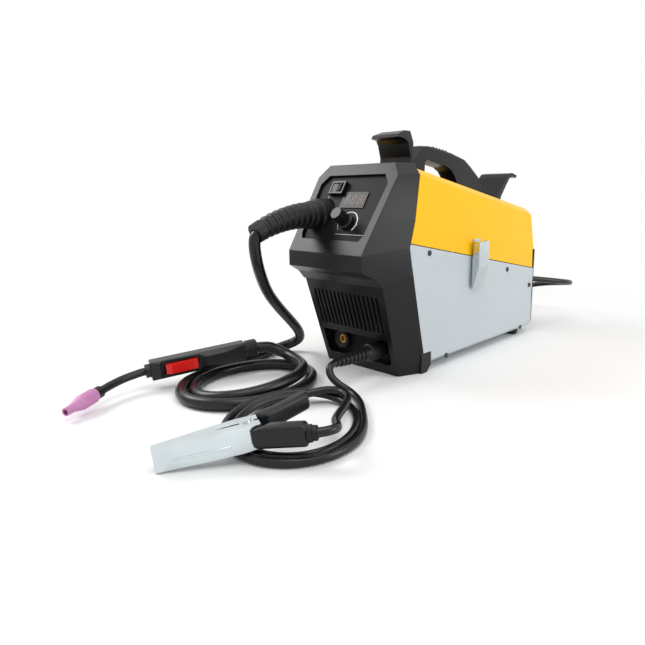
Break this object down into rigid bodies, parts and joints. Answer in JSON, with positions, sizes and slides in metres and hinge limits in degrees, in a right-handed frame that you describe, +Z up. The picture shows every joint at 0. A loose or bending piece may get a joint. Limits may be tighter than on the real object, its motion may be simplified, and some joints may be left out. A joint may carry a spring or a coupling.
{
  "type": "mig welding machine",
  "caption": "Portable wire welder with slanted control face, side door, carry handle, torch and ground clamp on coiled cables, and a mains cord.",
  "frame": {"origin": "on the floor, under the middle of the front bumper's sole, in the case's middle plane", "axes": "+X to the right seen from the front, +Y to the rear along the case, +Z up"},
  "size_m": [0.3524, 0.9919, 0.3574],
  "materials": {
    "black_moulding": "satin moulded",
    "panel_black": "fine texture",
    "window": "dark red tinted window",
    "switch_black": "glossy black",
    "knob_grey": "black with pale cap",
    "dial_metal": "plain",
    "rubber_black": "matt black",
    "cable_rubber": "semi-matt black",
    "brass": "turned",
    "yellow_paint": "yellow powder coat",
    "grey_paint": "silver grey paint",
    "black_paint": "black powder coat",
    "zinc": "zinc plated",
    "steel_sheet": "plain",
    "motor_black": "black",
    "copper_wire": "copper coated wire",
    "board_green": "green board",
    "sink_aluminium": "extruded",
    "core_steel": "laminated core",
    "grip_black": "moulded black",
    "trigger_red": "red",
    "nozzle_pink": "pink ceramic"
  },
  "bodies": {
    "machine": {"cable_sockets": "rubber_black", "carry_handle": "black_moulding", "circuit_board": "board_green", "clamp_lead": "cable_rubber", "clamp_lower_grip": "grip_black", "clamp_lower_jaw": "zinc", "control_panel": "panel_black", "cord_gland": "black_moulding", "cover_left": "yellow_paint", "deck": "steel_sheet", "dial_base": "dial_metal", "display_window": "window", "fan_frame": "motor_black", "feed_plate": "steel_sheet", "feeder_motor": "motor_black", "front_hook": "black_moulding", "front_housing": "black_moulding", "ground_coil": "cable_rubber", "ground_lead": "cable_rubber", "ground_plug": "rubber_black", "heat_sink": "sink_aluminium", "lower_case": "grey_paint", "mains_coil": "cable_rubber", "mains_lead": "cable_rubber", "mains_plug": "cable_rubber", "mains_tail": "cable_rubber", "rear_feet": "rubber_black", "rear_hook": "black_moulding", "rear_panel": "black_paint", "socket_inserts": "brass", "socket_plate": "panel_black", "spine_hinges": "zinc", "spool_spindle": "steel_sheet", "switch_body": "switch_black", "top_spine": "black_moulding", "torch_boot": "rubber_black", "torch_cable_drop": "cable_rubber", "torch_coil": "cable_rubber", "torch_collar": "rubber_black", "torch_handle": "grip_black", "torch_neck": "grip_black", "torch_nozzle": "nozzle_pink", "torch_tail": "cable_rubber", "transformer": "core_steel"},
    "door": {"door_cover": "yellow_paint", "door_hinges": "zinc", "latch_bracket": "zinc"},
    "latch": {"latch_flap": "zinc"},
    "rocker": {"power_rocker": "switch_black"},
    "knob": {"control_knob": "knob_grey"},
    "spool": {"wire_spool": "motor_black", "wire_winding": "copper_wire"},
    "drive": {"drive_roll": "steel_sheet"},
    "arm": {"pressure_arm": "steel_sheet"},
    "press": {"pressure_roll": "steel_sheet"},
    "tension": {"tension_knob": "motor_black"},
    "fan": {"fan_rotor": "motor_black"},
    "trigger": {"torch_trigger": "trigger_red"},
    "clamp_upper": {"clamp_upper_jaw": "zinc", "clamp_upper_grip": "grip_black"}
  },
  "joints": [
    {"name": "door_swing", "type": "hinge", "parent": "machine", "child": "door", "pos_m": [0.0366, 0.00065, 0.30324], "axis": [0, -0.9833, 0.1819], "range_deg": [0, 95]},
    {"name": "latch_swing", "type": "hinge", "parent": "door", "child": "latch", "pos_m": [0.098, 0.148, 0.18292], "axis": [0, -1, 0], "range_deg": [0, 88]},
    {"name": "power_switch", "type": "hinge", "parent": "machine", "child": "rocker", "pos_m": [-0.025, -0.04685, 0.26968], "axis": [0, 0.5452, 0.8383], "range_deg": [0, 14]},
    {"name": "dial_turn", "type": "hinge", "parent": "machine", "child": "knob", "pos_m": [0.0173, -0.07657, 0.22399], "axis": [0, -0.8383, 0.5452], "range_deg": [-140, 140]},
    {"name": "spool_spin", "type": "hinge", "parent": "machine", "child": "spool", "pos_m": [0, 0.232, 0.20138], "axis": [1, 0, 0], "continuous": true},
    {"name": "drive_spin", "type": "hinge", "parent": "machine", "child": "drive", "pos_m": [-0.041, 0.092, 0.2186], "axis": [1, 0, 0], "continuous": true},
    {"name": "arm_lift", "type": "hinge", "parent": "machine", "child": "arm", "pos_m": [-0.041, 0.126, 0.256], "axis": [-1, 0, 0], "range_deg": [0, 10]},
    {"name": "press_spin", "type": "hinge", "parent": "arm", "child": "press", "pos_m": [-0.041, 0.092, 0.2454], "axis": [1, 0, 0], "continuous": true},
    {"name": "tension_turn", "type": "hinge", "parent": "arm", "child": "tension", "pos_m": [-0.041, 0.054, 0.256], "axis": [0, 0, 1], "continuous": true},
    {"name": "fan_spin", "type": "hinge", "parent": "machine", "child": "fan", "pos_m": [0, 0.339, 0.062], "axis": [0, 1, 0], "continuous": true},
    {"name": "trigger_press", "type": "hinge", "parent": "machine", "child": "trigger", "pos_m": [-0.1227, -0.24263, 0.03167], "axis": [0.0278, 0.0798, -0.9964], "range_deg": [0, 3.5], "stiffness_Nm_per_rad": 0.6},
    {"name": "clamp_squeeze", "type": "hinge", "parent": "machine", "child": "clamp_upper", "pos_m": [0.116, -0.328, 0.026], "axis": [0.0593, 0.1163, -0.9914], "range_deg": [0, 20], "stiffness_Nm_per_rad": 2.5, "springref_deg": -11.97}
  ],
  "couplings": [
    {"joint": "press_spin", "follows": "drive_spin", "ratio": -1.3636}
  ]
}
